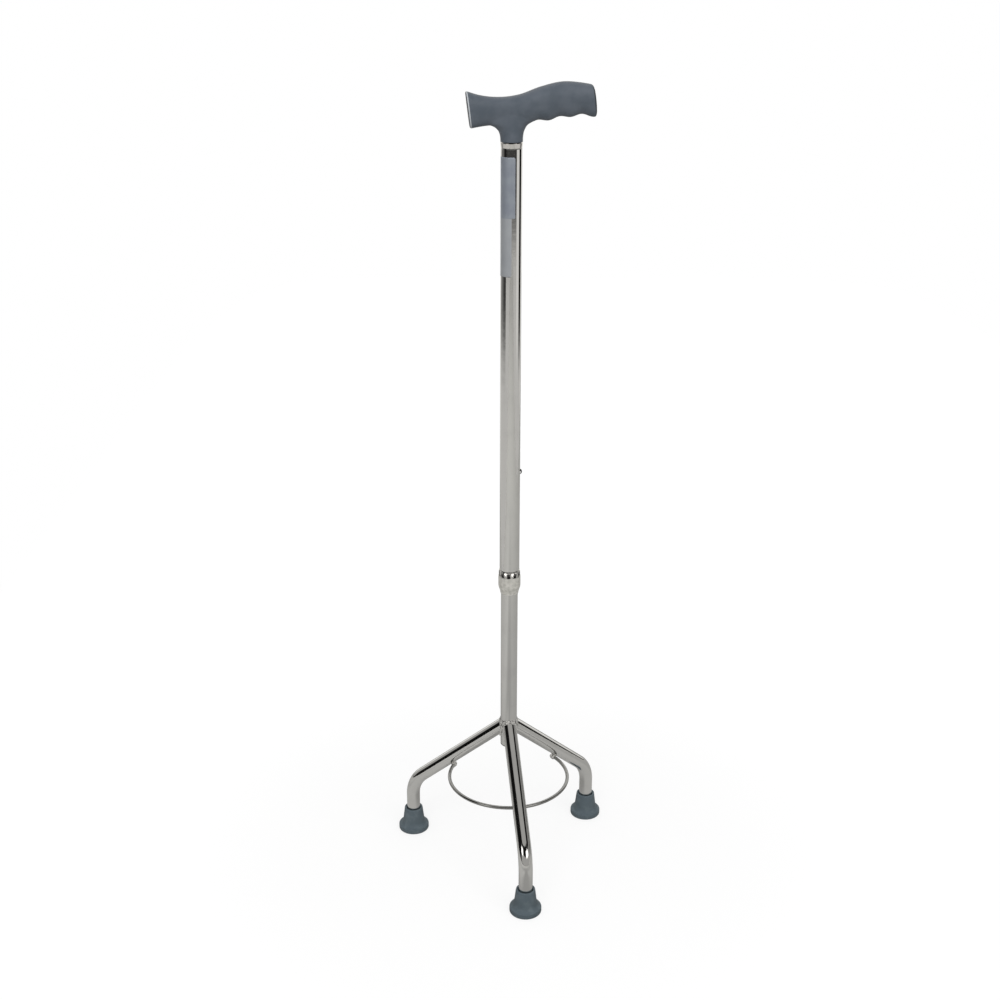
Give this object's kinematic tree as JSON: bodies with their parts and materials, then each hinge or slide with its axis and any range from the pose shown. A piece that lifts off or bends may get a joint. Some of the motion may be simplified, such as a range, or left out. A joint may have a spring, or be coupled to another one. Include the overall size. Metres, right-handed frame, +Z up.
{
  "type": "tripod cane",
  "caption": "Free-standing walking cane with a T-shaped palm handle, a height-adjustable telescoping chromed shaft and three braced legs on rubber ferrules.",
  "frame": {"origin": "middle of the three feet on the floor they stand on", "axes": "+Z up along the shaft, which stands 31 mm behind the origin; +X towards the palm end of the handle; -Y towards the front leg"},
  "size_m": [0.2532, 0.2242, 0.9019],
  "materials": {
    "chrome": "polished chrome plate on steel tube",
    "weld_chrome": "chrome plate over rippled weld",
    "satin_steel": "satin, finely mottled",
    "spring_steel": "plain steel",
    "grip_plastic": "satin slate-grey moulding",
    "ferrule_rubber": "matt slate-grey rubber",
    "nylon": "natural nylon"
  },
  "bodies": {
    "base": {"lower_tube": "chrome", "tube_end_plug": "chrome", "guide_bush": "nylon", "leg_front": "chrome", "leg_left": "chrome", "leg_right": "chrome", "leg_welds": "weld_chrome", "brace_wire": "chrome", "brace_weld_front": "weld_chrome", "brace_weld_left": "weld_chrome", "brace_weld_right": "weld_chrome", "ferrule_front": "ferrule_rubber", "ferrule_left": "ferrule_rubber", "ferrule_right": "ferrule_rubber", "washer_front": "spring_steel", "washer_left": "spring_steel", "washer_right": "spring_steel", "button_spring": "spring_steel"},
    "upper_shaft": {"upper_tube": "chrome", "trim_ring": "chrome", "handle_grip": "grip_plastic", "handle_core": "spring_steel", "handle_pin": "spring_steel", "end_sleeve": "chrome"},
    "collet": {"collet": "nylon"},
    "lock_nut": {"lock_nut": "satin_steel"},
    "snap_button": {"snap_button": "chrome"}
  },
  "joints": [
    {"name": "height_adjust", "type": "slide", "parent": "base", "child": "upper_shaft", "axis": [0, 0, 1], "range_m": [-0.1016, 0.0508]},
    {"name": "collet_travel", "type": "slide", "parent": "upper_shaft", "child": "collet", "axis": [0, 0, 1], "range_m": [-0.0015, 0]},
    {"name": "lock_nut_turn", "type": "hinge", "parent": "collet", "child": "lock_nut", "pos_m": [0, 0.03125, 0.352], "axis": [0, 0, 1], "range_deg": [-360, 0]},
    {"name": "button_press", "type": "slide", "parent": "base", "child": "snap_button", "axis": [-1, 0, 0], "range_m": [0, 0.0043], "stiffness_N_per_m": 1200, "springref_m": -0.003, "deforming": ["button_spring"]}
  ],
  "couplings": [
    {"joint": "lock_nut_turn", "follows": "collet_travel", "rad_per_m": 4188.8}
  ]
}
